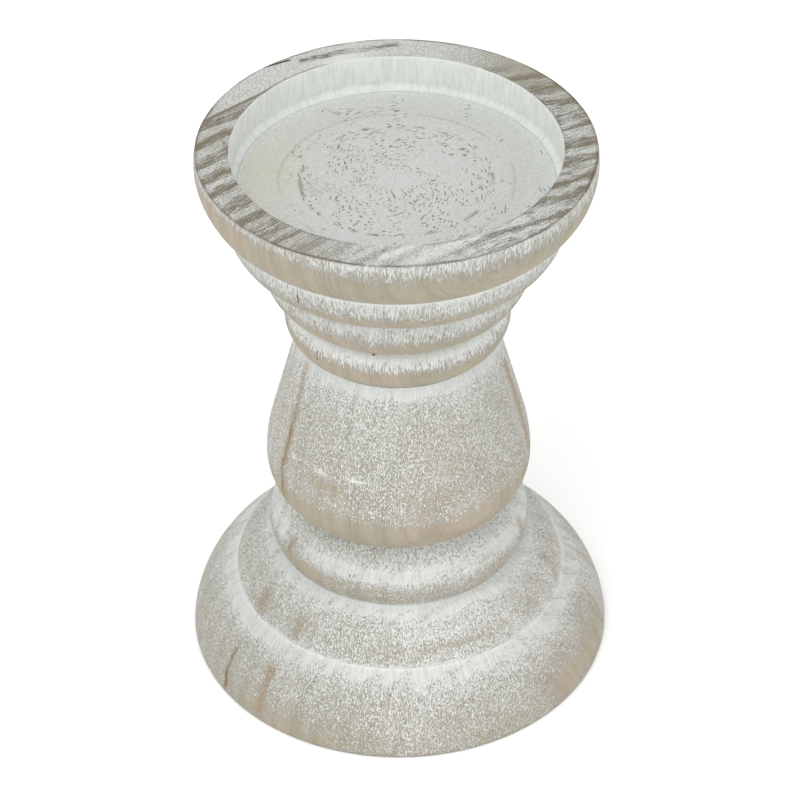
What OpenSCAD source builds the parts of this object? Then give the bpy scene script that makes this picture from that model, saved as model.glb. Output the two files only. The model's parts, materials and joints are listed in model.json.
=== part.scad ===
// Turned wooden pillar candlestick: three turned sections on one axis, a fluted dowel,
// a screw with its washer, and four felt pads. Millimetres, +Z up.
// The origin is on the axis, in the plane that the felt pads stand on.

/* [Part] */
// Sub-part to draw

/* [Overall] */
// Height from the surface to the rim
total_h = 152; // [148:1:170]
// Radius of the foot where it meets the surface
foot_r = 55.6; // [52:0.2:65]
// Radius of the flat rim at its outer edge
rim_r = 48.7; // [46:0.1:56]

/* [Candle recess] */
// Radius of the recess that takes the candle
recess_r = 40.3; // [36:0.1:42]
// Depth of the recess below the rim
recess_h = 9.5; // [5:0.5:14]

/* [Cup tiers] */
// Radius in the groove below the top tier
tier_1_r = 42.0; // [40:0.2:44]
// Height of the top tier
tier_1_h = 15.9; // [14:0.1:17]
// Radius in the groove below the second tier
tier_2_r = 32.6; // [30:0.2:35]
// Height of the second tier
tier_2_h = 12.8; // [11:0.1:14]
// Radius in the groove below the third tier
tier_3_r = 24.6; // [23:0.2:27]
// Height of the third tier
tier_3_h = 13.8; // [12:0.1:15]
// Radius in the groove between the collar and the vase
neck_r = 25.1; // [23:0.2:27]
// Height of the collar
collar_h = 11.6; // [10:0.1:13]

/* [Vase] */
// Largest radius of the vase
vase_r = 34.2; // [31:0.2:37]
// Height of the vase's widest ring above the surface
vase_z = 59; // [57:0.5:61]
// Height of the vase's lower end above the surface
vase_foot_z = 47.6; // [46.5:0.1:48.5]
// Radius of the vase's lower end
vase_foot_r = 26.7; // [25:0.1:28]

/* [Base tiers] */
// Radius at the shoulder's edge and in the groove below it
shoulder_r = 32.2; // [30:0.1:34]
// Height of the shoulder's edge above the surface
shoulder_z = 42.6; // [41:0.1:44]
// Height of the upper groove above the surface
upper_groove_z = 32; // [30:0.5:34]
// Radius in the lower groove
lower_groove_r = 43.3; // [41:0.1:46]
// Height of the lower groove above the surface
lower_groove_z = 20.2; // [18:0.1:22]

/* [Dowel] */
// Dowel diameter
dowel_d = 12; // [8:1:14]
// Dowel length
dowel_l = 40; // [30:5:50]

/* [Screw] */
// Outer diameter of the thread
screw_d = 5; // [4:0.5:6]
// Screw length under the head
screw_l = 50; // [45:1:52]
// Depth of the hole that hides the screw head
head_hole_h = 18; // [14:1:20]

/* [Felt pads] */
// Pad diameter
pad_d = 14; // [10:1:16]
// Pad thickness
pad_h = 1.5; // [1:0.5:3]
// Height of the wood above the surface
pad_proud = 0.4; // [0.2:0.1:0.8]
// Distance of the pads from the axis
pad_ring_r = 41; // [34:1:45]

/* [Hidden] */
$fn = 96;
wood = [0.80, 0.78, 0.72];
beech = [0.80, 0.64, 0.44];
zinc = [0.72, 0.73, 0.74];
felt = [0.32, 0.27, 0.22];

// How far each rounded band stands out from its straight chord, as a share of the chord
ovolo_swell = 0.158;
bead_swell = 0.2;
small_bead_swell = 0.25;
collar_swell = 0.31;
shoulder_swell = 0.18;
step_swell = 0.138;
foot_swell = 0.123;

// Grooves of the cup, from the rim down
groove_1_z = total_h - tier_1_h;
groove_2_z = groove_1_z - tier_2_h;
groove_3_z = groove_2_z - tier_3_h;
neck_z = groove_3_z - collar_h;

// Depth by which shapes that join overlap, and by which holes pass the face they open in
overlap = 1;

// The vase leaves the neck as a straight taper and rounds over to its widest ring
vase_lean = 15;
vase_turn_r = ((vase_r - neck_r) - tan(vase_lean) * (neck_z - vase_z))
    / ((1 - cos(vase_lean)) - tan(vase_lean) * sin(vase_lean));
vase_drop = vase_z - vase_foot_z;
vase_tuck = vase_r - vase_foot_r;
vase_tuck_r = (vase_tuck * vase_tuck + vase_drop * vase_drop) / (2 * vase_tuck);

// Joints between the turned sections
dowel_z = neck_z - dowel_l / 2;
dowel_hole_d = dowel_d + 0.2;
dowel_end_gap = 1.5;
flute_n = 16;
flute_d = 0.9;
dowel_chamfer = 1;
tenon_r = 10;
tenon_l = 14;
tenon_z = vase_foot_z - tenon_l;
tenon_gap = 0.1;
mortise_bottom_gap = 1;
head_hole_d = 20;
screw_hole_d = 5.6;
washer_d = 15;
washer_h = 1.2;
washer_hole_d = 5.5;
head_d = 10;
head_top_d = 8;
head_h = 3.4;
socket_r = 1.6;
socket_h = 2;
shank_l = 20;
shank_d = screw_d - 0.4;
core_d = 0.68 * screw_d;
thread_pitch = 2.5;
tip_l = 4;
tip_d = 0.4;
screw_seat_z = head_hole_h - washer_h;
screw_tip_z = screw_seat_z + screw_l;
pilot_gap = 0.15;
pilot_end_gap = 2;
pad_gap = 0.1;
pad_n = 4;
first_pad_angle = -135;

// Area between the chord from p to q and an arc that swells out from it, with a flat
// triangle behind the chord that overlaps the rest of the outline.
// The points run down the outline, so that the outside is on the left of the chord.
module swell(p, q, share) {
    chord = norm(q - p);
    rise = share * chord;
    r = (chord * chord / 4 + rise * rise) / (2 * rise);
    out = [p[1] - q[1], q[0] - p[0]] / chord;
    middle = (p + q) / 2;
    intersection() {
        translate(middle + out * (rise - r)) circle(r);
        polygon([p, middle - out * overlap, q, q + out * chord, p + out * chord]);
    }
}

// A stack of turned bands: grooves holds the points between them from the top down,
// and shares the swell of the band between each point and the next.
module bands(grooves, shares) {
    for (i = [0 : len(shares) - 1]) {
        p = grooves[i];
        q = grooves[i + 1];
        rotate_extrude() {
            polygon([[0, p[1]], p, q, [0, q[1]]]);
            if (shares[i] > 0) {
                swell(p, q, shares[i]);
            }
        }
    }
}

module cup_body() {
    bands([[rim_r, total_h], [tier_1_r, groove_1_z], [tier_2_r, groove_2_z],
           [tier_3_r, groove_3_z], [neck_r, neck_z]],
          [ovolo_swell, bead_swell, small_bead_swell, collar_swell]);
}

module candle_cup() color(wood) difference() {
    cup_body();
    translate([0, 0, total_h - recess_h]) cylinder(r = recess_r, h = recess_h + overlap);
    translate([0, 0, neck_z - overlap])
        cylinder(d = dowel_hole_d, h = dowel_l / 2 + dowel_end_gap + overlap);
}

// Half outline of the vase: taper, rounding to the widest ring, and the tuck below it
module vase_outline() {
    turn_c = [vase_r - vase_turn_r, vase_z];
    tuck_c = [vase_r - vase_tuck_r, vase_z];
    turn_top = turn_c + vase_turn_r * [cos(vase_lean), sin(vase_lean)];
    polygon([[0, neck_z], [neck_r, neck_z], turn_top, [vase_r, vase_z], [vase_foot_r, vase_foot_z],
             [0, vase_foot_z]]);
    intersection() {
        translate(turn_c) circle(vase_turn_r);
        translate([0, vase_z - overlap]) square([vase_r, turn_top[1] - vase_z + overlap]);
    }
    intersection() {
        translate(tuck_c) circle(vase_tuck_r);
        translate([tuck_c[0] - overlap, vase_foot_z]) square([vase_tuck_r + overlap, vase_drop]);
    }
}

module stem() color(wood) difference() {
    union() {
        rotate_extrude() vase_outline();
        translate([0, 0, tenon_z]) cylinder(r = tenon_r, h = tenon_l + overlap);
    }
    translate([0, 0, dowel_z - dowel_end_gap]) cylinder(d = dowel_hole_d, h = dowel_l);
    translate([0, 0, tenon_z - overlap])
        cylinder(d = screw_d + 2 * pilot_gap, h = screw_tip_z + pilot_end_gap - tenon_z + overlap);
}

module base_body() {
    bands([[vase_foot_r, vase_foot_z], [shoulder_r, shoulder_z], [shoulder_r, upper_groove_z],
           [lower_groove_r, lower_groove_z], [foot_r, pad_proud]],
          [0, shoulder_swell, step_swell, foot_swell]);
}

module at_pad(i) {
    rotate((i - 1) * 360 / pad_n + first_pad_angle) translate([pad_ring_r, 0, 0]) children();
}

module base() color(wood) difference() {
    base_body();
    translate([0, 0, tenon_z - mortise_bottom_gap])
        cylinder(r = tenon_r + tenon_gap, h = tenon_l + mortise_bottom_gap + overlap);
    cylinder(d = screw_hole_d, h = vase_foot_z);
    translate([0, 0, -overlap]) cylinder(d = head_hole_d, h = head_hole_h + overlap);
    for (i = [1 : pad_n]) {
        at_pad(i) translate([0, 0, -overlap]) cylinder(d = pad_d + 2 * pad_gap, h = pad_h + overlap);
    }
}

module joint_dowel() color(beech) translate([0, 0, dowel_z]) difference() {
    union() {
        cylinder(d1 = dowel_d - 2 * dowel_chamfer, d2 = dowel_d, h = dowel_chamfer);
        translate([0, 0, dowel_chamfer]) cylinder(d = dowel_d, h = dowel_l - 2 * dowel_chamfer);
        translate([0, 0, dowel_l - dowel_chamfer])
            cylinder(d1 = dowel_d, d2 = dowel_d - 2 * dowel_chamfer, h = dowel_chamfer);
    }
    for (i = [0 : flute_n - 1]) {
        rotate(i * 360 / flute_n) translate([dowel_d / 2, 0, -overlap])
            cylinder(d = flute_d, h = dowel_l + 2 * overlap);
    }
}

// One turn of the thread, drawn as a sharp ridge round the core
module thread_ridge() {
    ridge = (screw_d - core_d) / 2;
    rotate_extrude() polygon([[0, -ridge], [core_d / 2, -ridge], [screw_d / 2, 0],
                              [core_d / 2, ridge], [0, ridge]]);
}

module base_screw() color(zinc) translate([0, 0, screw_seat_z]) difference() {
    union() {
        translate([0, 0, -head_h]) cylinder(d1 = head_top_d, d2 = head_d, h = head_h);
        cylinder(d = shank_d, h = shank_l);
        cylinder(d = core_d, h = screw_l - tip_l);
        translate([0, 0, screw_l - tip_l]) cylinder(d1 = core_d, d2 = tip_d, h = tip_l);
        for (z = [shank_l + thread_pitch : thread_pitch : screw_l - tip_l]) {
            translate([0, 0, z]) thread_ridge();
        }
    }
    translate([0, 0, -head_h - overlap]) cylinder(r = socket_r, h = socket_h + overlap, $fn = 6);
}

module screw_washer() color(zinc) translate([0, 0, screw_seat_z]) difference() {
    cylinder(d = washer_d, h = washer_h);
    translate([0, 0, -overlap]) cylinder(d = washer_hole_d, h = washer_h + 2 * overlap);
}

module felt_pad(i) color(felt) at_pad(i) cylinder(d = pad_d, h = pad_h);

candle_cup();
stem();
base();
joint_dowel();
base_screw();
screw_washer();
felt_pad(1);  // felt_pad_1
felt_pad(2);  // felt_pad_2
felt_pad(3);  // felt_pad_3
felt_pad(4);  // felt_pad_4
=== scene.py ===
import json
import math

import bmesh
import bpy
import numpy as np
from mathutils import Matrix, Vector


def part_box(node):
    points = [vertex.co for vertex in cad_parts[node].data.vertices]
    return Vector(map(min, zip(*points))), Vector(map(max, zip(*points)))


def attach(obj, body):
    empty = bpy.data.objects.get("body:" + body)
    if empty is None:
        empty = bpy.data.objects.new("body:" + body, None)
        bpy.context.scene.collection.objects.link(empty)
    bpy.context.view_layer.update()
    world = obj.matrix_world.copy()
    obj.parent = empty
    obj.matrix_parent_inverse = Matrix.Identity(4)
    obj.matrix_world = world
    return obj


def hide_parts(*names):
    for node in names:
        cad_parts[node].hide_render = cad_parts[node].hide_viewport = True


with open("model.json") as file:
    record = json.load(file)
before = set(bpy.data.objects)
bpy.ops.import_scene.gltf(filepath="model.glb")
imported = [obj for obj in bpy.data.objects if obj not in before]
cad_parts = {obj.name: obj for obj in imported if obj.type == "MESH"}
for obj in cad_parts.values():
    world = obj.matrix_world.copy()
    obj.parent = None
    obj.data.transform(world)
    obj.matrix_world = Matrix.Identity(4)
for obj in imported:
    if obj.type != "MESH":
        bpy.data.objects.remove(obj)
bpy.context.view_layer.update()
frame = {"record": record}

MM = 0.001
CUP_BOX, STEM_BOX, BASE_BOX = (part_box(n) for n in ("candle_cup", "stem", "base"))
MOUNTS = {m["name"]: m for m in frame["record"]["mounts"]}

# ---- sizes, in metres ----
TOP_Z = CUP_BOX[1][2]
NECK_Z = CUP_BOX[0][2]
FOOT_Z = BASE_BOX[0][2]
WAIST_Z = BASE_BOX[1][2]
FOOT_R = BASE_BOX[1][0]
VASE_R = STEM_BOX[1][0]
RECESS_R = MOUNTS["candle_recess"]["dims"]["r_mm"] * MM
FLOOR_Z = TOP_Z - MOUNTS["candle_recess"]["dims"]["length_mm"] * MM
RIM_R = 48.7 * MM
TIER_1 = (42.0 * MM, TOP_Z - 15.9 * MM)
TIER_2 = (32.6 * MM, TOP_Z - 28.7 * MM)
TIER_3 = (24.6 * MM, TOP_Z - 42.5 * MM)
NECK_R = 25.1 * MM
VASE_Z = 59.0 * MM
VASE_LEAN = math.radians(15)
WAIST_R = 26.7 * MM
SHOULDER_R = 32.2 * MM
SHOULDER_Z = 42.6 * MM
UPPER_GROOVE_Z = 32.0 * MM
LOWER_GROOVE = (43.3 * MM, 20.2 * MM)
DOWEL_HOLE_R = 6.1 * MM
DOWEL_HOLE_Z = (NECK_Z - 21.5 * MM, NECK_Z + 21.5 * MM)
TENON_R, TENON_Z = 10.0 * MM, STEM_BOX[0][2]
SCREW_HOLE_R, SCREW_HOLE_TOP = 2.65 * MM, 68.8 * MM
SHANK_HOLE_R = 2.8 * MM
HEAD_HOLE_R, HEAD_HOLE_TOP = 10.0 * MM, 18.0 * MM

SEGMENTS = 360
EDGE_SOFTNESS = 0.3 * MM
SEAM_SOFTNESS = 0.06 * MM
FILLET = 1.6 * MM

# Spacing of the points of an outline: as drawn, as smoothed, and kept where it bends sharply
DRAWN_GAP = 0.1 * MM
FINE_GAP = 0.05 * MM
BEND_GAP = 0.2 * MM
SHARP_BEND = 0.02
DEFAULT_GAP = 2.0

# Depth of the turned faces' waviness and of their grain, with the size of each
WAVE_DEPTH, WAVE_SIZE = 0.10 * MM, (9 * MM, 9 * MM, 14 * MM)
GRAIN_DEPTH, GRAIN_SIZE = 0.05 * MM, (1.6 * MM, 1.6 * MM, 5 * MM)


# ---- noise on a repeating lattice, for the relief of the turned pieces ----
def noise(points, size, seed):
    """Smooth values from 0 to 1 at each point; size is the cell in metres, one number or three."""
    table = np.random.default_rng(seed).random((32, 32, 32))
    q = points / np.asarray(size)
    cell = np.floor(q).astype(int)
    f = q - cell
    f = f * f * (3 - 2 * f)
    total = 0
    for corner in range(8):
        step = np.array([corner & 1, corner >> 1 & 1, corner >> 2 & 1])
        weight = np.prod(np.where(step, f, 1 - f), axis=1)
        i, j, k = ((cell + step) % 32).T
        total = total + weight * table[i, j, k]
    return total


def fade(x, low, high):
    """0 below low, 1 above high, smooth between."""
    t = np.clip((x - low) / (high - low), 0, 1)
    return t * t * (3 - 2 * t)


# ---- outlines ----
class Outline:
    """A half outline, walked from its first point; every stretch has a name."""

    def __init__(self, r, z, softness=EDGE_SOFTNESS):
        self.softness = softness
        self.points = [np.array([r, z])]
        self.names = []
        self.along = []

    def to(self, name, r, z, swell=0.0):
        """A stretch to (r, z), straight or an arc that stands out from its chord by a share of it.

        A negative share makes the arc hollow.
        """
        p, q = self.points[-1], np.array([r, z])
        chord = np.linalg.norm(q - p)
        n = max(4, int(chord / DRAWN_GAP))
        t = np.linspace(0, 1, n + 1)[1:]
        line = p + (q - p) * t[:, None]
        if swell:
            out = np.array([p[1] - q[1], q[0] - p[0]]) / chord
            rise = abs(swell) * chord
            radius = (chord**2 / 4 + rise**2) / (2 * rise)
            x = (t - 0.5) * chord
            bulge = np.copysign(np.sqrt(radius**2 - x**2) - (radius - rise), swell)
            line = line + out * bulge[:, None]
        self.points.extend(line)
        self.names.extend([name] * n)
        self.along.extend(t)
        return self

    def sampled(self, steps, loop=False):
        """The outline with its corners eased, at the spacing that steps gives for each name.

        Returns the points, the name and the share along its stretch of each, and the distance run.
        """
        pts = np.array(self.points)
        names = np.array([self.names[0]] + self.names)
        along = np.array([0.0] + self.along)
        gap = np.linalg.norm(np.diff(pts, axis=0), axis=1)
        run = np.concatenate([[0], np.cumsum(gap)])
        even = np.arange(0, run[-1], FINE_GAP)
        smooth = np.stack([np.interp(even, run, pts[:, c]) for c in (0, 1)], axis=1)
        width = int(3 * self.softness / FINE_GAP)
        kernel = np.exp(-0.5 * (np.arange(-width, width + 1) * FINE_GAP / self.softness) ** 2)
        kernel /= kernel.sum()
        mode = "wrap" if loop else "edge"
        smooth = np.stack(
            [np.convolve(np.pad(smooth[:, c], width, mode=mode), kernel, "valid") for c in (0, 1)], axis=1
        )
        keep, last = [], -1.0
        index = np.searchsorted(run, even).clip(0, len(run) - 1)
        bend = np.abs(np.gradient(np.unwrap(np.arctan2(*np.gradient(smooth, axis=0).T))))
        bend = np.convolve(bend, np.ones(9) / 9, "same")
        for i, s in enumerate(even):
            step = steps.get(names[index[i]], DEFAULT_GAP) * MM
            if bend[i] > SHARP_BEND:
                step = min(step, BEND_GAP)
            if s - last >= step:
                keep.append(i)
                last = s
        keep = np.array(keep)
        return smooth[keep], names[index[keep]], along[index[keep]], even[keep]


def cup_outline():
    """From the middle of the recess floor, over the rim and down the tiers to the dowel hole."""
    return (
        Outline(0, FLOOR_Z)
        .to("floor", RECESS_R - FILLET, FLOOR_Z)
        .to("fillet", RECESS_R, FLOOR_Z + FILLET, -math.tan(math.pi / 8) / 2)
        .to("wall", RECESS_R, TOP_Z)
        .to("rim", RIM_R, TOP_Z)
        .to("tier_1", *TIER_1, 0.158)
        .to("tier_2", *TIER_2, 0.2)
        .to("tier_3", *TIER_3, 0.25)
        .to("collar", NECK_R, NECK_Z, 0.31)
        .to("joint", DOWEL_HOLE_R, NECK_Z)
        .to("joint", DOWEL_HOLE_R, DOWEL_HOLE_Z[1])
        .to("joint", 0, DOWEL_HOLE_Z[1])
    )


def stem_outline():
    """From the dowel hole, out at the neck and down the vase to the tenon and the screw's hole."""
    lean_run = math.tan(VASE_LEAN)
    turn = ((VASE_R - NECK_R) - lean_run * (NECK_Z - VASE_Z)) / (
        (1 - math.cos(VASE_LEAN)) - lean_run * math.sin(VASE_LEAN)
    )
    top = (VASE_R - turn * (1 - math.cos(VASE_LEAN)), VASE_Z + turn * math.sin(VASE_LEAN))
    tuck, drop = VASE_R - WAIST_R, VASE_Z - WAIST_Z
    tuck_r = (tuck**2 + drop**2) / (2 * tuck)
    tuck_angle = math.asin(drop / tuck_r)
    return (
        Outline(0, DOWEL_HOLE_Z[0], SEAM_SOFTNESS)
        .to("joint", DOWEL_HOLE_R, DOWEL_HOLE_Z[0])
        .to("joint", DOWEL_HOLE_R, NECK_Z)
        .to("joint", NECK_R, NECK_Z)
        .to("taper", *top)
        .to("belly", VASE_R, VASE_Z, math.tan(VASE_LEAN / 4) / 2)
        .to("tuck", WAIST_R, WAIST_Z, math.tan(tuck_angle / 4) / 2)
        .to("joint", TENON_R, WAIST_Z)
        .to("joint", TENON_R, TENON_Z)
        .to("joint", SCREW_HOLE_R, TENON_Z)
        .to("joint", SCREW_HOLE_R, SCREW_HOLE_TOP)
        .to("joint", 0, SCREW_HOLE_TOP)
    )


def base_outline():
    """A closed outline: out at the waist, down the foot, and back up through the screw's hole."""
    mortise = (TENON_R + 0.1 * MM, TENON_Z - 1.0 * MM)
    return (
        Outline(SHANK_HOLE_R, HEAD_HOLE_TOP)
        .to("joint", SHANK_HOLE_R, mortise[1])
        .to("joint", *mortise)
        .to("joint", mortise[0], WAIST_Z)
        .to("joint", WAIST_R, WAIST_Z)
        .to("slope", SHOULDER_R, SHOULDER_Z)
        .to("shoulder", SHOULDER_R, UPPER_GROOVE_Z, 0.18)
        .to("step", *LOWER_GROOVE, 0.138)
        .to("foot", FOOT_R, FOOT_Z, 0.123)
        .to("underside", HEAD_HOLE_R, FOOT_Z)
        .to("joint", HEAD_HOLE_R, HEAD_HOLE_TOP)
        .to("joint", SHANK_HOLE_R, HEAD_HOLE_TOP)
    )


# Spacing of the rings along each stretch, in millimetres
STEPS = {"floor": 0.4, "fillet": 0.3, "wall": 0.8, "rim": 0.45}
OUTSIDE = ("tier_1", "tier_2", "tier_3", "collar", "taper", "belly", "tuck")
OUTSIDE += ("slope", "shoulder", "step", "foot")
STEPS.update({name: 0.5 for name in OUTSIDE})

# How much of the wood the paint covers, from the top of each stretch to its foot:
# pairs of the share of the stretch and the share covered
COVER = {
    "floor": [(0, 1.0), (1, 1.0)],
    "fillet": [(0, 1.0), (1, 1.0)],
    "wall": [(0, 1.05), (1, 1.0)],
    "rim": [(0, 0.535), (0.92, 0.535), (1, 0.25)],
    "tier_1": [(0, 0.5), (0.03, 0.8), (0.12, 0.62), (0.32, 0.12), (0.5, 0.0), (0.95, 0.0), (1, 0.6)],
    "tier_2": [(0, 1.0), (0.08, 0.85), (0.25, 0.55), (0.48, 0.05), (0.95, 0.0), (1, 0.6)],
    "tier_3": [(0, 1.0), (0.1, 0.88), (0.25, 0.65), (0.47, 0.05), (0.95, 0.0), (1, 0.6)],
    "collar": [(0, 1.04), (0.2, 1.0), (0.36, 0.68), (0.56, 0.08), (0.84, 0.0), (0.9, 0.45), (1, 0.95)],
    "taper": [(0, 1.04), (0.1, 1.0), (0.22, 0.74), (0.45, 0.58), (1, 0.52)],
    "belly": [(0, 0.5), (0.55, 0.47), (0.78, 0.34), (1, 0.1)],
    "tuck": [(0, 0.1), (0.06, 0.0), (0.66, 0.0), (0.76, 0.45), (1, 0.9)],
    "slope": [(0, 0.75), (0.5, 0.8), (1, 1.0)],
    "shoulder": [(0, 1.0), (0.22, 0.95), (0.42, 0.4), (0.75, 0.28), (0.95, 0.5), (1, 1.0)],
    "step": [(0, 1.02), (0.2, 0.95), (0.4, 0.7), (0.75, 0.6), (0.96, 0.7), (1, 1.0)],
    "foot": [(0, 1.02), (0.16, 0.94), (0.34, 0.64), (0.7, 0.54), (1, 0.42)],
    "underside": [(0, 0.05), (1, 0.05)],
    "joint": [(0, 0.0), (1, 0.0)],
}
# How strongly the growth rings show on each stretch
RINGS_BELOW = 0.12
RINGS = {"rim": 1.0, "floor": 0.0, "fillet": 0.0, "wall": 0.0, "joint": 0.3, "underside": 0.6}
# Stretches where the paint ends in long drips along the turned profile
DRIPS = ("tier_1", "tier_2", "tier_3", "collar")
# Stretches of one smooth band share the mean radius that sets the width of their grain
SAME_BAND = {"belly": "taper", "tuck": "taper", "slope": "shoulder"}
FLAT = ("floor", "rim", "underside", "joint")
# How light the paint is along a stretch, against the paint on the outside. Much of it is painted light and
# shade: lighter just below each groove, at the collar's lower edge and up the recess wall to offset their
# shade, darker on the recess floor and just under the collar; the rest is the paint's own tone
# Lighter just below a groove, where paint pooled, and brightened further as painted light against the
# groove's shade
POOLED_STEP_WITH_PAINTED_LIGHT = [(0, 1.08), (0.06, 0.98), (1, 0.98)]
POOLED_TIER_WITH_PAINTED_LIGHT = [(0, 1.04), (0.08, 0.9), (1, 0.88)]
TONE_WITH_PAINTED_LIGHT = {
    "floor": [(0, 0.765), (0.8, 0.75), (0.93, 0.82), (1, 0.92)],
    "fillet": [(0, 0.92), (0.5, 0.98), (1, 1.02)],
    "wall": [(0, 1.04), (1, 1.12)],
    "rim": [(0, 0.87), (1, 0.87)],
    "tier_1": [(0, 0.87), (1, 0.87)],
    "tier_2": POOLED_TIER_WITH_PAINTED_LIGHT,
    "tier_3": POOLED_TIER_WITH_PAINTED_LIGHT,
    "collar": [(0, 1.1), (0.1, 1.03), (0.9, 0.98), (1, 1.1)],
    "taper": [(0, 0.92), (0.05, 0.87), (0.22, 0.96), (1, 1.0)],
    "slope": [(0, 1.28), (0.1, 1.1), (0.25, 1.02), (0.5, 0.98), (1, 0.92)],
    "shoulder": [(0, 0.86), (1, 0.95)],
    "step": POOLED_STEP_WITH_PAINTED_LIGHT,
    "foot": [(0, 1.04), (0.06, 0.94), (0.3, 0.97), (1, 0.98)],
}
# How much darker the paint is made away from the front: a painted shade on the sides
PAINTED_SIDE_SHADE = {"taper": 0.06, "belly": 0.06, "slope": 0.06, "shoulder": 0.08, "step": 0.12, "foot": 0.13}

# Patches where more or less paint is left: azimuth in degrees, then height, half width and
# half height in millimetres, and the change in cover
PATCHES = [
    # the cup's upper tier
    (218, 145.2, 18, 4.2, -0.95), (196, 145.2, 18, 4.2, -0.8),
    # the stem
    (237, 68.2, 5, 1.8, -0.45), (216, 70.6, 1.6, 0.6, 0.6), (222, 78, 14, 15, -0.1),
    (233, 71.3, 2.4, 0.5, 0.8), (251, 72.0, 3.2, 0.6, 0.4), (285, 66, 8, 4, -0.15),
    (265, 84, 9, 5, 0.1), (60, 70, 8, 9, -0.2), (120, 62, 9, 6, -0.2),
    # the base, from its left round the front to its right
    (205, 16, 14, 7, 0.06), (212, 24, 4, 3, -0.35), (216, 41.5, 3, 2, -0.5), (226, 37, 6, 2.4, -0.5),
    (231, 25, 4, 3, -0.35), (232, 9, 4, 6, 0.05), (235, 3, 16, 5, -0.45), (266, 6, 10, 3, -0.1),
    (283, 27.4, 14, 0.8, 0.16), (284, 9.5, 8, 2.6, -0.14), (291, 24.6, 13, 0.9, -0.3),
    (300, 4, 8, 3, -0.08), (325, 25, 5, 3, -0.2), (326, 7, 14, 7, -0.5), (345, 9, 8, 8, -0.45),
    # the base's back
    (40, 9, 12, 5, -0.3), (95, 24, 9, 3, -0.2), (150, 8, 12, 5, -0.3),
]
# More or less paint round the rim: azimuth and half spread in degrees, and the change in cover
RIM_WEAR = [
    (276, 24, 0.3), (105, 36, 0.2), (48, 16, -0.42), (12, 24, 0.06), (196, 30, -0.08), (318, 10, 0.1),
]
# Where the rings hardly show on the rim: azimuth and half spread in degrees
RIM_CALM = [(280, 16), (250, 12), (100, 30)]

# The recess floor: rings of torn grain, the ring where they end, a scribed circle, small pits,
# and stains, each with its middle in millimetres, its turn, its half length and half width in
# millimetres, and its strength
TEAR_R = 23.4 * MM
SCRIBE_R = 28.7 * MM
CHIP_GAP = 2.1 * MM
PIT_COUNT = 26
STAINS = [
    ((-6, -37.4), 0.1, 3.0, 1.0, 1.5), ((-15, 15), 0.3, 1.6, 1.0, 0.5), ((-17, -11), 2.4, 1.6, 0.6, 0.7),
    ((-31, 4), 1.5, 17, 9, 0.5), ((12, 3), 0.8, 1.4, 0.5, 0.5),
]
# How deep each kind of mark goes into the floor, in millimetres
FLOOR_DEPTHS = {"torn": 0.1, "step": 0.3, "scribe": 0.1, "pits": 0.3, "inside": 0.12}


def spot(x, y, at, turn, half_length, half_width):
    """A soft oval mark, 1 at its middle, with its length turned from +X by an angle."""
    u = (x - at[0]) * math.cos(turn) + (y - at[1]) * math.sin(turn)
    v = (y - at[1]) * math.cos(turn) - (x - at[0]) * math.sin(turn)
    return np.exp(-((u / half_length) ** 2) - (v / half_width) ** 2)


def floor_relief(x, y):
    """The recess floor: depth in metres, torn grain, darkness and stain at each point."""
    random = np.random.default_rng(7)
    r, flat = np.hypot(x, y), np.stack([x, y, np.zeros_like(x)], axis=1)
    rows = 0.5 + 0.5 * np.cos(2 * math.pi * (r - TEAR_R) / CHIP_GAP)
    torn = (0.35 + 0.65 * rows) * fade(r, 2 * MM, 7 * MM) * fade(r, TEAR_R + 0.9 * MM, TEAR_R)
    torn = torn * fade(noise(flat, 4 * MM, 12), 0.22, 0.62)
    outer = fade(noise(flat, 6 * MM, 15), 0.55, 0.9) * fade(r, TEAR_R, TEAR_R + 3 * MM)
    torn = np.maximum(torn, 0.45 * outer)
    step = np.exp(-(((r - TEAR_R) / (0.4 * MM)) ** 2)) * fade(noise(flat, 2.0 * MM, 13), 0.45, 0.75)
    scribe = np.exp(-(((r - SCRIBE_R) / (0.25 * MM)) ** 2)) * fade(noise(flat, 12 * MM, 14), 0.2, 0.55)
    pits = np.zeros_like(x)
    for _ in range(PIT_COUNT):
        at_r, turn = random.uniform(10, 38) * MM, random.uniform(0, 2 * math.pi)
        at = (at_r * math.cos(turn), at_r * math.sin(turn))
        deep = random.uniform(0.4, 1.0)
        pits = np.maximum(pits, deep * spot(x, y, at, turn, 0.34 * MM, 0.28 * MM))
    inside = 0.35 * fade(r, TEAR_R + 0.6 * MM, TEAR_R - 0.6 * MM)
    marks = {"torn": torn, "step": step, "scribe": scribe, "pits": pits, "inside": inside}
    depth = sum(FLOOR_DEPTHS[kind] * mark for kind, mark in marks.items())
    stain = np.zeros_like(x)
    for at, turn, half_length, half_width, strength in STAINS:
        at = (at[0] * MM, at[1] * MM)
        stain = np.maximum(stain, strength * spot(x, y, at, turn, half_length * MM, half_width * MM))
    dark = 0.5 * step + 0.35 * scribe + 1.0 * pits
    return depth * MM, torn, np.clip(dark, 0, 1), stain


def turn_between(a, azimuth):
    """The angle from an azimuth in degrees to a, in radians, from -pi to pi."""
    return (a - math.radians(azimuth) + math.pi) % (2 * math.pi) - math.pi


def patch_cover(r, a, z, points):
    """The change in cover that the worn and the painted patches make."""
    change = np.zeros_like(r)
    rough = 0.5 + noise(points, 3 * MM, 31)
    for azimuth, height, half_width, half_height, amount in PATCHES:
        u = turn_between(a, azimuth) * r / (half_width * MM)
        v = (z - height * MM) / (half_height * MM)
        change += amount * rough * np.exp(-(u**2) - v**2)
    return change


def rim_cover(a):
    """The change in cover round the rim."""
    change = np.zeros_like(a)
    for azimuth, spread, amount in RIM_WEAR:
        change += amount * np.exp(-((turn_between(a, azimuth) / math.radians(spread)) ** 2))
    return change


def rim_calm(a):
    """1 where the rings show fully on the rim, less where the paint hides them."""
    show = np.ones_like(a)
    for azimuth, spread in RIM_CALM:
        show *= 1 - 0.65 * np.exp(-((turn_between(a, azimuth) / math.radians(spread)) ** 2))
    return show


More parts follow.
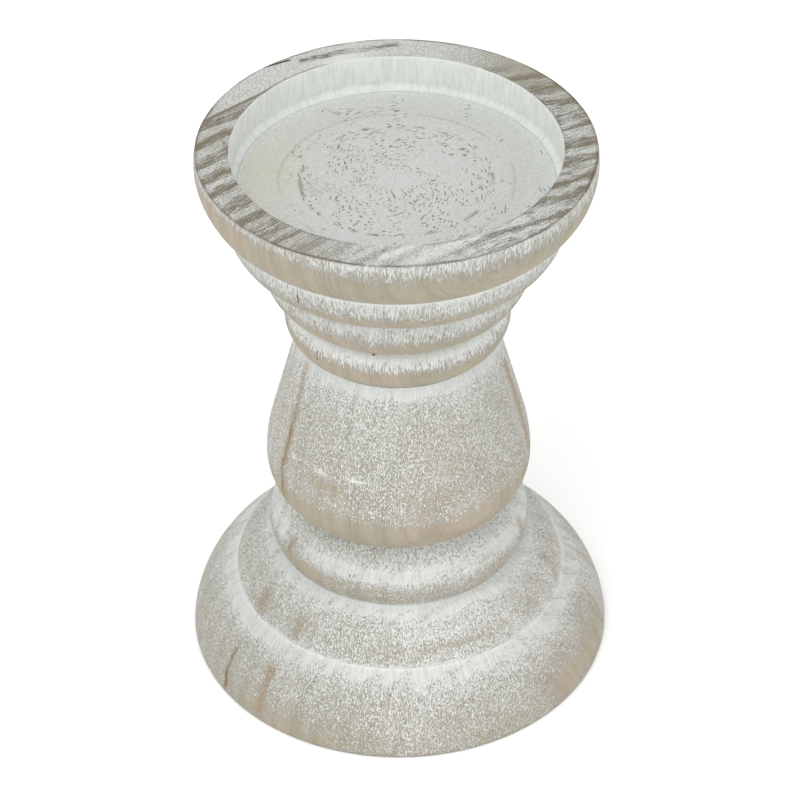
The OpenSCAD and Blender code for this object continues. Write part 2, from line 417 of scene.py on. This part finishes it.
def lathe(name, outline, node, loop=False):
    """Turns an outline round Z, wears its surface inwards, and stores what the wood material needs."""
    line, names, along, run = outline.sampled(STEPS, loop)
    if not loop:
        line[0, 0] = line[-1, 0] = 0.0
    count = len(line)
    angle = np.arange(SEGMENTS) * 2 * math.pi / SEGMENTS
    tangent = np.gradient(line, axis=0)
    tangent /= np.linalg.norm(tangent, axis=1)[:, None]
    inward = np.stack([tangent[:, 1], -tangent[:, 0]], axis=1)
    r = np.repeat(line[:, 0], SEGMENTS)
    z = np.repeat(line[:, 1], SEGMENTS)
    a = np.tile(angle, count)
    x, y = r * np.cos(a), r * np.sin(a)
    where = np.repeat(names, SEGMENTS)
    points = np.stack([x, y, z], axis=1)

    worn = np.isin(where, ["joint", "underside", "wall"], invert=True)
    depth = np.where(worn, WAVE_DEPTH * noise(points, WAVE_SIZE, 3), 0)
    depth = depth + np.where(worn, GRAIN_DEPTH * noise(points, GRAIN_SIZE, 4), 0)
    torn, dark, stain = (np.zeros(len(r)) for _ in range(3))
    on_floor = (where == "floor") & (r < RECESS_R - FILLET - 1 * MM)
    cut, torn[on_floor], dark[on_floor], stain[on_floor] = floor_relief(x[on_floor], y[on_floor])
    depth[on_floor] = depth[on_floor] * 0.5 + cut
    if "rim" in names:
        dark = np.maximum(dark, rim_lines(names, run, points))
    step_in = np.repeat(inward, SEGMENTS, axis=0) * depth[:, None]
    r2, z2 = np.maximum(r + step_in[:, 0], 0), z + step_in[:, 1]
    points = np.stack([r2 * np.cos(a), r2 * np.sin(a), z2], axis=1)

    mesh = bpy.data.meshes.new(name)
    i, j = np.meshgrid(np.arange(count if loop else count - 1), np.arange(SEGMENTS), indexing="ij")
    i, j = i.ravel(), j.ravel()
    i2, j2 = (i + 1) % count, (j + 1) % SEGMENTS
    quads = np.stack([i * SEGMENTS + j, i2 * SEGMENTS + j, i2 * SEGMENTS + j2, i * SEGMENTS + j2], axis=1)
    mesh.from_pydata(points, [], quads)
    mesh.update()

    cover, rings, tone, drip = np.zeros(count), np.zeros(count), np.ones(count), np.zeros(count)
    for stretch in set(names):
        here = names == stretch
        cover[here] = np.interp(along[here], *zip(*COVER[stretch]))
        rings[here] = RINGS.get(stretch, RINGS_BELOW)
        drip[here] = stretch in DRIPS
        if stretch in TONE_WITH_PAINTED_LIGHT:
            tone[here] = np.interp(along[here], *zip(*TONE_WITH_PAINTED_LIGHT[stretch]))
    cover, rings = np.repeat(cover, SEGMENTS), np.repeat(rings, SEGMENTS)
    # The tone holds the painted light and shade of the tone table, and is darkened away from the front as
    # painted shade on the sides
    painted_side_shade = np.repeat([PAINTED_SIDE_SHADE.get(s, 0.0) for s in names], SEGMENTS)
    tone = np.repeat(tone, SEGMENTS) - painted_side_shade * fade(np.abs(turn_between(a, 275)), 0.2, 1.0)
    on_rim = where == "rim"
    rings = np.where(on_rim, rings * rim_calm(a), rings)
    outside = np.isin(where, OUTSIDE)
    cover = cover + np.where(outside, patch_cover(r, a, z, points), 0) + np.where(on_rim, rim_cover(a), 0)
    band = np.array([SAME_BAND.get(s, s) for s in names])
    mean_r = {s: line[band == s, 0].mean() for s in set(band)}
    ring_r = np.repeat([mean_r[s] for s in band], SEGMENTS)
    flat = np.isin(where, FLAT)
    grain = np.stack([np.cos(a) * ring_r, np.sin(a) * ring_r, np.repeat(run, SEGMENTS)], axis=1)
    grain[flat] = np.stack([x, y, z], axis=1)[flat]
    store(mesh, "cover", cover)
    store(mesh, "rings", rings)
    store(mesh, "on_rim", on_rim.astype(float))
    store(mesh, "tone", tone)
    store(mesh, "drip", np.repeat(drip, SEGMENTS))
    store(mesh, "torn", torn)
    store(mesh, "dark", dark)
    store(mesh, "stain", stain)
    mesh.attributes.new("grain", "FLOAT_VECTOR", "POINT").data.foreach_set("vector", grain.ravel())
    mesh.shade_smooth()
    mesh.set_sharp_from_angle(angle=math.radians(50))

    piece = bpy.data.objects.new(name, mesh)
    bpy.context.collection.objects.link(piece)
    merge_poles(piece)
    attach(piece, "root")
    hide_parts(node)
    return piece


def rim_lines(names, run, points):
    """The dark, broken lines that follow the rim's two edges."""
    here = run[names == "rim"]
    run = np.repeat(run, SEGMENTS)
    sway = 0.7 * MM * (noise(points, 5 * MM, 22) - 0.5)
    outer = np.exp(-(((run - here[-1] + 0.15 * MM + sway) / (0.34 * MM)) ** 2))
    inner = np.exp(-(((run - here[0] - 0.1 * MM) / (0.26 * MM)) ** 2))
    outer = outer * (0.25 + 0.75 * fade(noise(points, 6 * MM, 21), 0.3, 0.6))
    inner = inner * fade(noise(points, 14 * MM, 23), 0.3, 0.6)
    return np.maximum(0.9 * outer, 0.6 * inner)


def store(mesh, name, values):
    mesh.attributes.new(name, "FLOAT", "POINT").data.foreach_set("value", values)


def merge_poles(piece):
    """Joins the points that lie on the axis, and makes every face look outwards."""
    bm = bmesh.new()
    bm.from_mesh(piece.data)
    poles = [v for v in bm.verts if math.hypot(v.co.x, v.co.y) < 1e-7]
    bmesh.ops.remove_doubles(bm, verts=poles, dist=1e-6)
    bmesh.ops.recalc_face_normals(bm, faces=bm.faces)
    bm.to_mesh(piece.data)
    bm.free()


# ---- materials ----
class Graph:
    """A node material, built with short calls."""

    def __init__(self, name):
        self.material = bpy.data.materials.new(name)
        self.material.use_nodes = True
        self.tree = self.material.node_tree
        self.tree.nodes.clear()

    def add(self, kind, inputs=(), **settings):
        node = self.tree.nodes.new("ShaderNode" + kind)
        for key, value in settings.items():
            setattr(node, key, value)
        for key, value in dict(inputs).items():
            if isinstance(value, bpy.types.NodeSocket):
                self.tree.links.new(value, node.inputs[key])
            else:
                node.inputs[key].default_value = value
        return node

    def math(self, operation, a, b=0.0, c=0.0, clamp=False):
        return self.add("Math", {0: a, 1: b, 2: c}, operation=operation, use_clamp=clamp).outputs[0]

    def fade(self, value, low, high, to_low=0.0, to_high=1.0):
        inputs = {"Value": value, "From Min": low, "From Max": high, "To Min": to_low, "To Max": to_high}
        return self.add("MapRange", inputs, interpolation_type="SMOOTHSTEP").outputs[0]

    def mix(self, factor, a, b, blend="MIX"):
        node = self.add("Mix", {0: factor, 6: a, 7: b}, data_type="RGBA", blend_type=blend)
        return node.outputs[2]

    def attribute(self, name, output="Fac"):
        return self.add("Attribute", attribute_name=name).outputs[output]

    def noise(self, vector, scale, detail=2.0, roughness=0.5, distortion=0.0):
        """scale is cells per metre, one number or three."""
        if not isinstance(scale, (int, float)):
            vector = self.add("VectorMath", {0: vector, 1: scale}, operation="MULTIPLY").outputs[0]
            scale = 1.0
        inputs = {"Vector": vector, "Scale": scale, "Detail": detail, "Roughness": roughness,
                  "Distortion": distortion}
        return self.add("TexNoise", inputs).outputs[0]

    def stroke(self, place, start, end, half_width):
        """1 on a straight line between two points, fading to 0 at its half width."""
        run = Vector(end) - Vector(start)
        from_start = self.add("VectorMath", {0: place, 1: start}, operation="SUBTRACT").outputs[0]
        share = self.add("VectorMath", {0: from_start, 1: run / run.length_squared}, operation="DOT_PRODUCT")
        share = self.math("MULTIPLY", share.outputs["Value"], 1.0, clamp=True)
        on_line = self.add("VectorMath", {0: run, "Scale": share}, operation="SCALE").outputs[0]
        apart = self.add("VectorMath", {0: from_start, 1: on_line}, operation="DISTANCE").outputs["Value"]
        return self.fade(apart, half_width, half_width * 0.3)

    def seam(self, place, azimuth, half_width, low, high):
        """1 where an upright plane from the axis meets the surface, between two heights."""
        out = (math.cos(azimuth), math.sin(azimuth), 0)
        across = (-math.sin(azimuth), math.cos(azimuth), 0)
        apart = self.add("VectorMath", {0: place, 1: across}, operation="DOT_PRODUCT").outputs["Value"]
        side = self.add("VectorMath", {0: place, 1: out}, operation="DOT_PRODUCT").outputs["Value"]
        z = self.add("SeparateXYZ", {0: place}).outputs[2]
        line = self.fade(self.math("ABSOLUTE", apart), half_width, 0.0)
        line = self.math("MULTIPLY", line, self.fade(side, 0.0, 1 * MM))
        above = self.fade(z, low - 1 * MM, low + 1 * MM)
        below = self.fade(z, high + 1 * MM, high - 1 * MM)
        ends = self.math("MULTIPLY", above, below)
        return self.math("MULTIPLY", line, ends)

    def most(self, masks):
        """The largest of several masks."""
        total = masks[0]
        for mask in masks[1:]:
            total = self.math("MAXIMUM", total, mask)
        return total

    def finish(self, colour, roughness, height, distance, specular=0.3, metallic=0.0, sheen=0.0, glow=0.0):
        """Ends the graph in a shader with bumps of a given height, and returns the material."""
        bump = self.add("Bump", {"Height": height, "Distance": distance, "Strength": 1.0})
        shader = self.add("BsdfPrincipled", {"Base Color": colour, "Roughness": roughness,
                                             "Normal": bump.outputs[0]})
        shader.inputs["Specular IOR Level"].default_value = specular
        shader.inputs["Metallic"].default_value = metallic
        shader.inputs["Sheen Weight"].default_value = sheen
        shader.inputs["Emission Color"].default_value = (1, 1, 1, 1)
        shader.inputs["Emission Strength"].default_value = glow
        self.add("OutputMaterial", {"Surface": shader.outputs[0]})
        return self.material


def srgb(r, g, b):
    """An sRGB colour from 0 to 255 as the linear colour that nodes take."""
    return tuple(((c / 255 + 0.055) / 1.055) ** 2.4 for c in (r, g, b)) + (1.0,)


PAINT = srgb(217, 220, 217)
PAINT_SHADE = srgb(205, 207, 202)
BARE = srgb(164, 157, 138)
BARE_PINK = srgb(171, 159, 142)
BARE_GREY = srgb(154, 149, 133)
LATE_WOOD = srgb(105, 97, 79)
PORE = srgb(104, 95, 76)
CRACK = srgb(70, 62, 50)
EDGE_BROWN = srgb(116, 102, 80)
GRAIN_BROWN = srgb(112, 92, 66)
TAN = srgb(156, 131, 98)
STAIN = srgb(187, 178, 142)
# The growth rings' centre and spacing in plan, and the line where the paler sapwood starts
RING_CENTRE = (150 * MM, -218 * MM)
RING_GAP = 6.0 * MM
SAP_LINE = 40.2 * MM
SAP_ANGLE = math.radians(132)

# Cracks and nicks, and grey smears, each a line between two points with its half width in
# millimetres; a point is its azimuth in degrees, and its radius and height in millimetres
CRACKS = [
    ((133.4, 48.6, 152), (125.0, 47.2, 152), 0.55), ((236.3, 42.4, 135.2), (235.9, 41.4, 130.9), 0.22),
    ((226, 28.1, 105.4), (226.2, 28.4, 103.0), 0.18), ((256, 26.2, 108.8), (257.6, 26.2, 108.6), 0.45),
    ((266, 47.6, 142.5), (266.2, 47.4, 141), 0.16), ((48, 48.2, 149), (48.2, 47.6, 144), 0.2),
    ((160, 34, 30.5), (160.4, 39, 27), 0.22),
]
GREY_LINES = [
    ((121, 45.4, 152), (104, 44.4, 152), 1.7), ((108, 44.4, 152), (90, 45.6, 152), 1.2),
    ((240, 32.6, 69.6), (252, 32.4, 70), 0.3),
]
# Lines of grain down the sides: azimuth in degrees, half width, lowest and highest height in
# millimetres, and strength
GRAIN_LINES = [
    # the stem
    (209.6, 2.4, 52, 95, 1.0), (211, 4.5, 50, 60, 0.5), (351, 3.2, 52, 90, 0.85), (22, 1.6, 50, 90, 0.5),
    (118, 1.6, 52, 92, 0.5),
    # the base's shoulder and step
    (214, 2.2, 36, 42.4, 0.9), (222, 2.6, 35.5, 38.5, 0.5), (342, 2.4, 33, 42.5, 0.6),
    (211, 2.6, 21.5, 28, 0.6), (231, 2.2, 22, 27.5, 0.5), (347, 2.6, 21, 28, 0.5), (1, 1.0, 20, 28, 0.4),
    (36, 1.6, 20, 30, 0.5), (160, 1.8, 3, 26, 0.5),
    # the base's foot
    (228.6, 2.3, 2, 15.5, 0.75), (213.6, 2.2, 1, 14, 0.55), (352, 1.6, 3, 17, 0.5), (8, 1.8, 8, 19, 0.5),
    (18, 1.5, 10, 19, 0.45), (75, 1.2, 3, 17, 0.6),
]
DARK_LINES = [
    (213.6, 0.9, 1.0, 13.5, 1.0), (209.4, 0.6, 56, 93, 0.7), (212, 0.7, 38, 42, 0.7),
    (118.3, 0.5, 60, 80, 0.5),
]


def at_polar(azimuth, radius, height):
    """A point from its azimuth in degrees, and its radius and height in millimetres."""
    turn = math.radians(azimuth)
    return (radius * MM * math.cos(turn), radius * MM * math.sin(turn), height * MM)


def growth_rings(g, x, y, z, place):
    """Late wood from 0 to 1, and coordinates across and along the rings."""
    waver = g.noise(place, (60, 60, 12), 2.0)
    knotty = g.math("MULTIPLY", g.fade(x, 20 * MM, 42 * MM), g.noise(place, (130, 130, 20), 2.0))
    waver = g.math("MULTIPLY_ADD", knotty, 1.6, waver)
    dx = g.math("SUBTRACT", x, RING_CENTRE[0])
    dy = g.math("SUBTRACT", y, RING_CENTRE[1])
    reach = g.math("SQRT", g.math("ADD", g.math("MULTIPLY", dx, dx), g.math("MULTIPLY", dy, dy)))
    round_rings = g.math("MULTIPLY", g.math("ARCTAN2", dy, dx), math.hypot(*RING_CENTRE))
    ring_space = g.add("CombineXYZ", {0: reach, 1: round_rings, 2: z}).outputs[0]
    count = g.math("DIVIDE", g.math("MULTIPLY_ADD", waver, 3.0 * MM, reach), RING_GAP)
    wave = g.math("SINE", g.math("MULTIPLY", count, 2 * math.pi))
    uneven = g.add("TexNoise", {"W": g.math("MULTIPLY", count, 2.3), "Scale": 1.0, "Detail": 4.0},
                   noise_dimensions="1D").outputs[0]
    frayed = g.math("SUBTRACT", g.noise(ring_space, (2200, 260, 1), 3.0, 0.7), 0.5)
    uneven = g.math("MULTIPLY_ADD", frayed, 1.6, uneven)
    late = g.fade(g.math("MULTIPLY_ADD", wave, 0.17, uneven), 0.26, 0.8)
    across_x = g.math("MULTIPLY", x, math.cos(SAP_ANGLE))
    across = g.math("ADD", across_x, g.math("MULTIPLY", y, math.sin(SAP_ANGLE)))
    heart = g.fade(across, SAP_LINE + 0.3 * MM, SAP_LINE - 0.3 * MM)
    heart = g.math("MULTIPLY", heart, g.fade(y, 38 * MM, 30 * MM))
    late = g.math("MULTIPLY", late, heart)
    sap_edge = g.fade(across, SAP_LINE - 1.8 * MM, SAP_LINE - 0.5 * MM)
    sap_edge = g.math("MULTIPLY", g.math("MULTIPLY", sap_edge, heart), g.fade(x, -20 * MM, -28 * MM))
    return g.math("MAXIMUM", late, sap_edge), ring_space


def whitewashed_wood():
    """Bare wood with its rings, the paint left on it, chips, grain lines and cracks."""
    g = Graph("whitewashed_wood")
    place = g.add("TexCoord").outputs["Object"]
    grain = g.attribute("grain", "Vector")
    cover, rings, dark, drip, torn = (g.attribute(n) for n in ("cover", "rings", "dark", "drip", "torn"))
    x, y, z = g.add("SeparateXYZ", {0: place}).outputs
    late, ring_space = growth_rings(g, x, y, z, place)
    on_rim = g.attribute("on_rim")

    # bare wood
    drift = g.noise(place, (38, 38, 16), 2.0)
    patch = g.noise(place, (90, 90, 60), 2.0, 0.6)
    wood = g.mix(g.fade(drift, 0.42, 0.62), BARE, BARE_PINK)
    wood = g.mix(g.fade(patch, 0.5, 0.72, 0, 0.6), wood, BARE_GREY)
    fibre = g.noise(grain, (3400, 3400, 500), 2.0, 0.6)
    wood = g.mix(g.fade(fibre, 0.55, 0.75, 0, 0.25), wood, PORE)
    wood = g.mix(g.math("MULTIPLY", late, g.math("MULTIPLY_ADD", rings, 0.75, 0.1)), wood, LATE_WOOD)
    vein = g.fade(g.noise(ring_space, (2600, 110, 1), 2.0, 0.6), 0.5, 0.66, 0.0, 0.5)
    wood = g.mix(g.math("MULTIPLY", g.math("MULTIPLY", late, rings), vein), wood, CRACK)

    # paint left in the grain: short flecks, drips on the tiers, streaks along the rings on the rim
    flecks = g.noise(grain, (4500, 4500, 1600), 1.0, 0.65, 0.35)
    drips = g.noise(grain, (4700, 4700, 620), 2.0, 0.7)
    streaks = g.noise(ring_space, (4000, 2600, 1), 2.0, 0.85, 0.4)
    hold = g.math("MULTIPLY_ADD", g.math("SUBTRACT", drips, flecks), drip, flecks)
    hold = g.math("MULTIPLY_ADD", g.math("SUBTRACT", streaks, hold), on_rim, hold)
    wear = g.noise(place, (32, 32, 22), 1.0, 0.5)
    wear = g.math("MULTIPLY", g.math("SUBTRACT", wear, 0.5), g.math("MULTIPLY_ADD", drip, -0.35, 0.6))
    lift = g.math("MULTIPLY", g.math("SUBTRACT", late, 0.35), g.math("MULTIPLY", rings, -0.7))
    wear = g.math("MULTIPLY", wear, g.math("MULTIPLY", g.fade(cover, 1.0, 0.8), g.fade(cover, 0.0, 0.2)))
    left = g.math("ADD", g.math("ADD", wear, cover), lift)
    spread = g.math("MULTIPLY", g.math("SUBTRACT", hold, 0.5), g.math("MULTIPLY_ADD", drip, -0.9, 3.9))
    spread = g.math("MULTIPLY", spread, g.math("MULTIPLY", g.fade(left, 0.02, 0.2), g.fade(left, 1.02, 0.9)))
    soft = g.math("MULTIPLY_ADD", drip, -0.04, 0.34)
    level = g.math("DIVIDE", g.math("SUBTRACT", g.math("ADD", left, spread), 0.5), soft)
    painted = g.fade(level, -1.0, 1.0)
    brush = g.noise(grain, (1300, 1300, 160), 3.0, 0.6)
    paint = g.mix(g.fade(brush, 0.35, 0.7), PAINT, PAINT_SHADE)
    grit = g.noise(place, 2600.0, 3.0, 0.7)
    # The tone attribute sets how light the paint is: partly its own tone, partly painted light and shade
    tone = g.math("MULTIPLY_ADD", g.math("SUBTRACT", grit, 0.5), 0.32, g.attribute("tone"))
    paint = g.mix(1.0, paint, g.add("CombineColor", {0: tone, 1: tone, 2: tone}).outputs[0], "MULTIPLY")
    paint = g.mix(g.math("MULTIPLY", g.attribute("stain"), 0.6), paint, STAIN)
    colour = g.mix(painted, wood, paint)

    # torn grain on the recess floor: short chips along its rings, slanted at the front
    reach = g.math("SQRT", g.math("ADD", g.math("MULTIPLY", x, x), g.math("MULTIPLY", y, y)))
    round_axis = g.math("MULTIPLY", g.math("ARCTAN2", y, x), g.math("MULTIPLY_ADD", reach, 0.5, 8 * MM))
    slanted = g.math("MULTIPLY_ADD", round_axis, g.fade(y, 0.0, -8 * MM, 0.0, 0.45), reach)
    chip_space = g.add("CombineXYZ", {0: slanted, 1: round_axis}).outputs[0]
    chips = g.noise(chip_space, (2400, 760, 1), 0.0)
    chips = g.fade(g.math("MULTIPLY_ADD", torn, 0.05, chips), 0.69, 0.75)
    chips = g.math("MULTIPLY", chips, g.fade(torn, 0.1, 0.35))
    specks = g.noise(place, 4200.0, 1.0)
    dark = g.math("MULTIPLY", dark, g.fade(specks, 0.25, 0.5))
    colour = g.mix(dark, colour, EDGE_BROWN)
    colour = g.mix(g.math("MULTIPLY", chips, 0.7), colour, PORE)

    # grain lines down the sides, and cracks
    sway = g.add("TexNoise", {"Vector": place, "Scale": 130.0, "Detail": 2.0}).outputs[1]
    sway = g.add("VectorMath", {0: sway, 1: (0.5, 0.5, 0.5)}, operation="SUBTRACT").outputs[0]
    sway = g.add("VectorMath", {0: sway, "Scale": 3.0 * MM}, operation="SCALE").outputs[0]
    bent = g.add("VectorMath", {0: place, 1: sway}, operation="ADD").outputs[0]
    masks = {}
    for kind, lines in (("tan", GRAIN_LINES), ("dark", DARK_LINES)):
        masks[kind] = g.most([
            g.math("MULTIPLY", g.seam(bent, math.radians(azimuth), half * MM, low * MM, high * MM), strength)
            for azimuth, half, low, high, strength in lines
        ])
    broken = g.fade(g.noise(place, (90, 90, 75), 1.0), 0.36, 0.54, 0.5, 1.0)
    tan = g.math("MULTIPLY", g.math("MULTIPLY", masks["tan"], broken), g.fade(flecks, 0.35, 0.6, 1.0, 0.7))
    colour = g.mix(tan, colour, TAN)
    deep = g.math("MULTIPLY", g.math("MULTIPLY", masks["dark"], broken), g.fade(fibre, 0.35, 0.6, 1.0, 0.7))
    colour = g.mix(deep, colour, GRAIN_BROWN)
    grey = g.most([g.stroke(bent, at_polar(*a), at_polar(*b), half * MM) for a, b, half in GREY_LINES])
    smear = g.noise(place, (300, 2800, 2800), 2.0, 0.7)
    colour = g.mix(g.math("MULTIPLY", grey, g.fade(smear, 0.42, 0.58, 1.0, 0.2)), colour, PORE)
    crack = g.most([g.stroke(place, at_polar(*a), at_polar(*b), half * MM) for a, b, half in CRACKS])
    colour = g.mix(crack, colour, CRACK)

    height = g.math("ADD", g.math("MULTIPLY", painted, 0.6), g.math("MULTIPLY", hold, 0.6))
    height = g.math("MULTIPLY_ADD", g.math("ADD", brush, grit), 0.5, height)
    height = g.math("MULTIPLY_ADD", late, g.math("MULTIPLY", rings, -0.6), height)
    height = g.math("SUBTRACT", height, g.math("MULTIPLY", g.most([chips, crack, dark]), 1.5))
    roughness = g.fade(painted, 0, 1, 0.62, 0.74)
    return g.finish(colour, roughness, height, 0.2 * MM, specular=0.25)


def dowel_wood():
    g = Graph("dowel_wood")
    place = g.add("TexCoord").outputs["Object"]
    streak = g.noise(place, (900, 900, 60), 4.0, 0.6)
    fleck = g.noise(place, (2600, 2600, 420), 2.0)
    colour = g.mix(g.fade(streak, 0.35, 0.7), srgb(224, 196, 154), srgb(196, 160, 116))
    colour = g.mix(g.fade(fleck, 0.6, 0.75), colour, srgb(160, 118, 78))
    return g.finish(colour, g.fade(streak, 0, 1, 0.5, 0.7), streak, 0.05 * MM)


def zinc():
    g = Graph("zinc")
    place = g.add("TexCoord").outputs["Object"]
    spangle = g.noise(place, 700.0, 3.0, 0.6)
    scratch = g.noise(place, (3500, 500, 3500), 2.0)
    colour = g.mix(g.fade(spangle, 0.35, 0.65), srgb(206, 209, 212), srgb(178, 180, 176))
    return g.finish(colour, g.fade(scratch, 0.3, 0.7, 0.28, 0.45), scratch, 0.01 * MM, metallic=1.0)


def felt():
    g = Graph("felt")
    place = g.add("TexCoord").outputs["Object"]
    fuzz = g.noise(place, 3800.0, 4.0, 0.7, 1.2)
    blot = g.noise(place, 260.0, 2.0)
    colour = g.mix(g.fade(fuzz, 0.35, 0.65), srgb(84, 70, 58), srgb(128, 110, 92))
    colour = g.mix(g.fade(blot, 0.4, 0.7, 0, 0.4), colour, srgb(100, 88, 76))
    return g.finish(colour, g.fade(fuzz, 0, 1, 0.85, 0.98), fuzz, 0.25 * MM, specular=0.1, sheen=0.3)


# ---- the pieces ----
cup = lathe("turned_cup", cup_outline(), "candle_cup")
stem = lathe("turned_stem", stem_outline(), "stem")
base = lathe("turned_base", base_outline(), "base", loop=True)
wood = whitewashed_wood()
for piece in (cup, stem, base):
    piece.data.materials.append(wood)

FINISHES = {"dowel_wood": dowel_wood(), "zinc": zinc(), "felt": felt()}
for sub in frame["record"]["subparts"]:
    finish = FINISHES.get(sub["material_slot"])
    node = bpy.data.objects.get(sub["node"])
    if finish and node:
        if not node.material_slots:
            node.data.materials.append(finish)
        for slot in node.material_slots:
            slot.material = finish

# ---- floor, light and camera ----
floor_material = Graph("pale_floor")
paper = floor_material.noise(floor_material.add("TexCoord").outputs["Object"], 900.0, 2.0)
tone = floor_material.mix(paper, srgb(252, 252, 252), srgb(249, 249, 249))
floor_mesh = bpy.data.meshes.new("floor")
FLOOR_REACH = 3.0
corners = [(u * FLOOR_REACH, v * FLOOR_REACH, 0) for u, v in ((-1, -1), (1, -1), (1, 1), (-1, 1))]
floor_mesh.from_pydata(corners, [], [(0, 1, 2, 3)])
floor = bpy.data.objects.new("floor", floor_mesh)
bpy.context.collection.objects.link(floor)
FLOOR_GLOW = 0.06
floor_finish = floor_material.finish(tone, 0.9, paper, 0.01 * MM, specular=0.1, glow=FLOOR_GLOW)
floor_mesh.materials.append(floor_finish)

world = bpy.data.worlds.new("studio")
bpy.context.scene.world = world
world.use_nodes = True
background = world.node_tree.nodes["Background"]
background.inputs["Color"].default_value = (1, 1, 1, 1)
background.inputs["Strength"].default_value = 1.0


def softbox(name, place, aim, width, power):
    """A round area light at a place, facing a point."""
    light = bpy.data.lights.new(name, "AREA")
    light.shape, light.size, light.energy = "DISK", width, power
    lamp = bpy.data.objects.new(name, light)
    lamp.location = place
    lamp.rotation_mode = "QUATERNION"
    lamp.rotation_quaternion = (Vector(aim) - Vector(place)).to_track_quat("-Z", "Y")
    bpy.context.collection.objects.link(lamp)


LIT_POINT = (0, 0, 80 * MM)
SOFTBOX_WIDTH = 0.9
softbox("key", (-0.35, -0.6, 1.1), LIT_POINT, SOFTBOX_WIDTH, 5.0)
softbox("fill", (0.9, -0.8, 0.5), LIT_POINT, SOFTBOX_WIDTH, 1.5)

# The camera: how far it looks down, its distance from the point it aims at, and that point
ELEVATION = math.radians(38.87)
DISTANCE = 0.7852
AIM_Z = 0.0737
SIDE = 0.0042
ROLL = math.radians(-0.17)
camera = bpy.data.objects.new("camera", bpy.data.cameras.new("camera"))
bpy.context.collection.objects.link(camera)
camera.data.sensor_width = 36
camera.data.lens = 137.75
camera.data.shift_x = -0.0184
camera.data.clip_start = 0.01
camera.location = (SIDE, -math.cos(ELEVATION) * DISTANCE, AIM_Z + math.sin(ELEVATION) * DISTANCE)
tilt = Matrix.Rotation(math.pi / 2 - ELEVATION, 3, "X") @ Matrix.Rotation(ROLL, 3, "Z")
camera.rotation_euler = tilt.to_euler()
bpy.context.scene.camera = camera
bpy.context.scene.view_settings.view_transform = "Standard"
